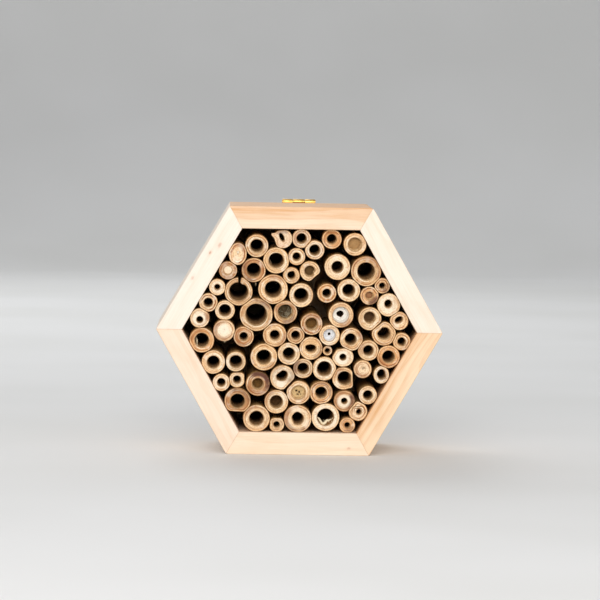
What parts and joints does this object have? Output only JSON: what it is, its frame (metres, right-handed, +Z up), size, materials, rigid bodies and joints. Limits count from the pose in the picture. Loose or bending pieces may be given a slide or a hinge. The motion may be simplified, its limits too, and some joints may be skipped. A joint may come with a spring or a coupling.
{
  "type": "insect hotel",
  "caption": "Hexagonal wooden insect hotel packed with cut bamboo canes, open at the front, with a small brass hinge leaf at the back for hanging",
  "frame": {"origin": "middle of the underside, where the bottom stave rests", "axes": "+X left to right across the open front, +Y from the open front to the closed back, +Z up"},
  "size_m": [0.1728, 0.0882, 0.1523],
  "materials": {
    "pine_staves": "planed, unfinished softwood with pale grain and small knots",
    "plywood_back": "thin unfinished plywood, fine straight grain",
    "bamboo": "sawn bamboo, pale fibrous end grain, tan satin skin",
    "hinge_brass": "bright brass plate, slightly dulled",
    "hinge_brass_screws": "bright brass",
    "steel_nails": "plain bright steel"
  },
  "bodies": {
    "house": {"back_panel": "plywood_back", "back_panel_nails": "steel_nails", "cane_04": "bamboo", "cane_05": "bamboo", "cane_07": "bamboo", "cane_08": "bamboo", "cane_10": "bamboo", "cane_11": "bamboo", "cane_13": "bamboo", "cane_17": "bamboo", "cane_18": "bamboo", "cane_19": "bamboo", "cane_21": "bamboo", "cane_24": "bamboo", "cane_27": "bamboo", "cane_28": "bamboo", "cane_29": "bamboo", "cane_30": "bamboo", "cane_31": "bamboo", "cane_36": "bamboo", "cane_37": "bamboo", "cane_40": "bamboo", "cane_41": "bamboo", "cane_43": "bamboo", "cane_45": "bamboo", "cane_46": "bamboo", "cane_47": "bamboo", "cane_51": "bamboo", "cane_54": "bamboo", "cane_55": "bamboo", "cane_57": "bamboo", "cane_58": "bamboo", "cane_61": "bamboo", "cane_62": "bamboo", "cane_63": "bamboo", "cane_64": "bamboo", "cane_68": "bamboo", "cane_70": "bamboo", "cane_71": "bamboo", "hinge_fixed_leaf": "hinge_brass", "hinge_pin": "hinge_brass", "hinge_screws": "hinge_brass_screws", "stave_bottom": "pine_staves", "stave_lower_left": "pine_staves", "stave_lower_right": "pine_staves", "stave_top": "pine_staves", "stave_upper_left": "pine_staves", "stave_upper_right": "pine_staves", "thin_canes_high_centre": "bamboo", "thin_canes_high_left": "bamboo", "thin_canes_high_right": "bamboo", "thin_canes_low_centre": "bamboo", "thin_canes_low_left": "bamboo", "thin_canes_low_right": "bamboo", "thin_canes_middle_centre": "bamboo", "thin_canes_middle_left": "bamboo", "thin_canes_middle_right": "bamboo"},
    "hanging_leaf": {"hinge_free_leaf": "hinge_brass"}
  },
  "joints": [
    {"name": "hanging_leaf_swing", "type": "hinge", "parent": "house", "child": "hanging_leaf", "pos_m": [0, 0.0441, 0.1507], "axis": [1, 0, 0], "range_deg": [0, 215]}
  ]
}
